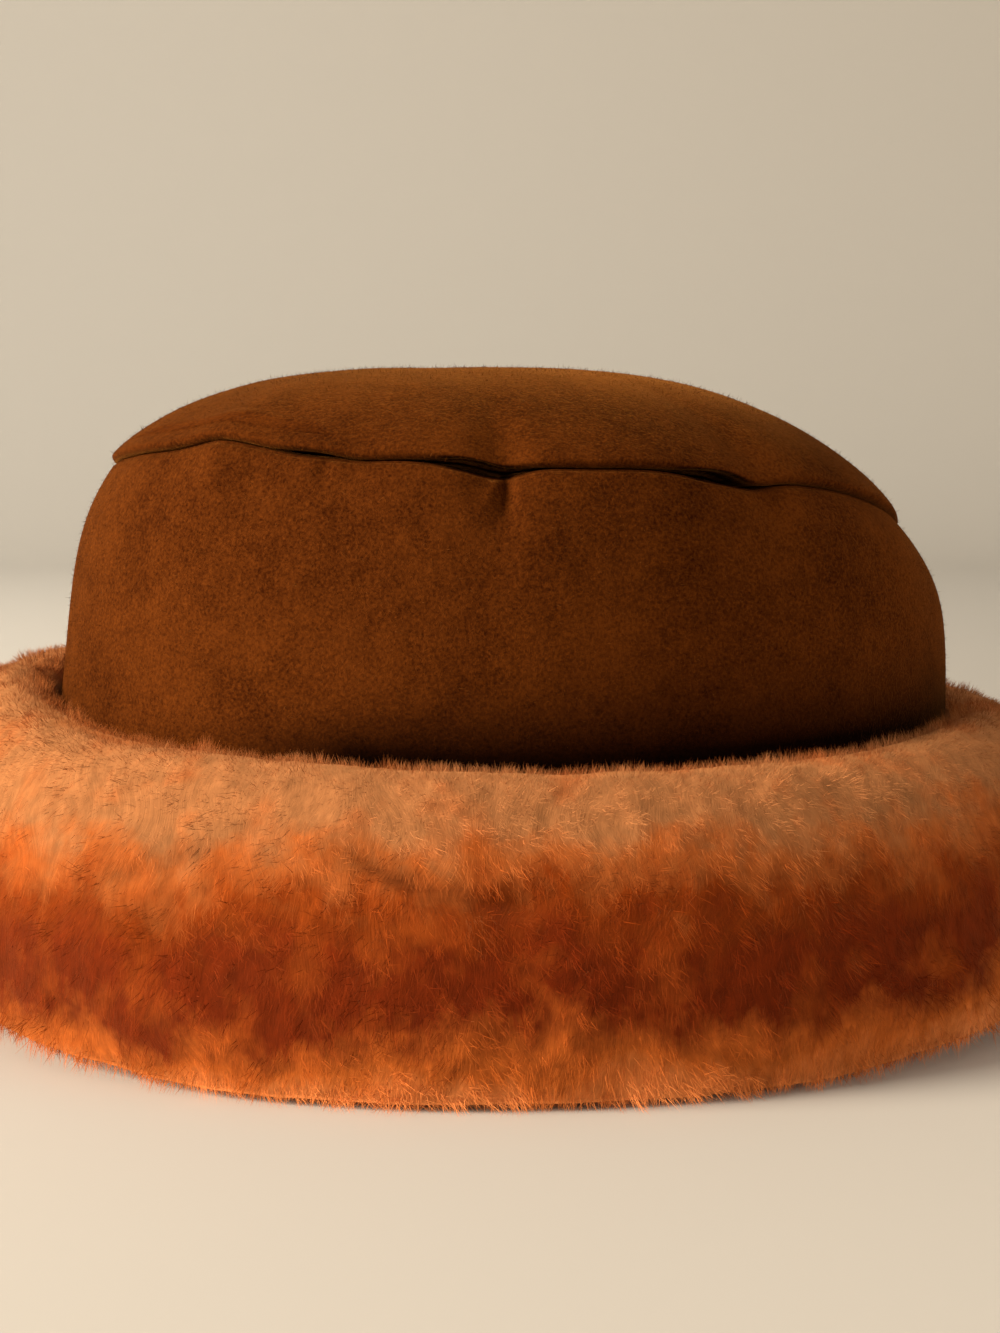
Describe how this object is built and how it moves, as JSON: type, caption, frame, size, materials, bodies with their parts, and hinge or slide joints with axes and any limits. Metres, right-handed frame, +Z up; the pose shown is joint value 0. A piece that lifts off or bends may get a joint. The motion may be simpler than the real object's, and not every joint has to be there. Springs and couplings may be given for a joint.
{
  "type": "suede bucket hat with a sheared-fur brim",
  "caption": "Soft oval suede crown, a domed tip on a side band, over a thick sheared-fur brim that slopes down and out; open beneath for a head.",
  "frame": {"origin": "on the ground, under the middle of the hat's bounding box", "axes": "+X to the hat's front, +Y to the wearer's left, +Z up"},
  "size_m": [0.2813, 0.2424, 0.141],
  "materials": {
    "suede": "soft napped suede, tobacco brown, matt",
    "sheared_fur": "dense sheared sheepskin fur dyed in bands, peach above, rust in the middle, orange at the lower edge"
  },
  "bodies": {
    "root": {"crown_tip": "suede", "crown_band": "suede", "fur_brim": "sheared_fur"}
  },
  "joints": []
}
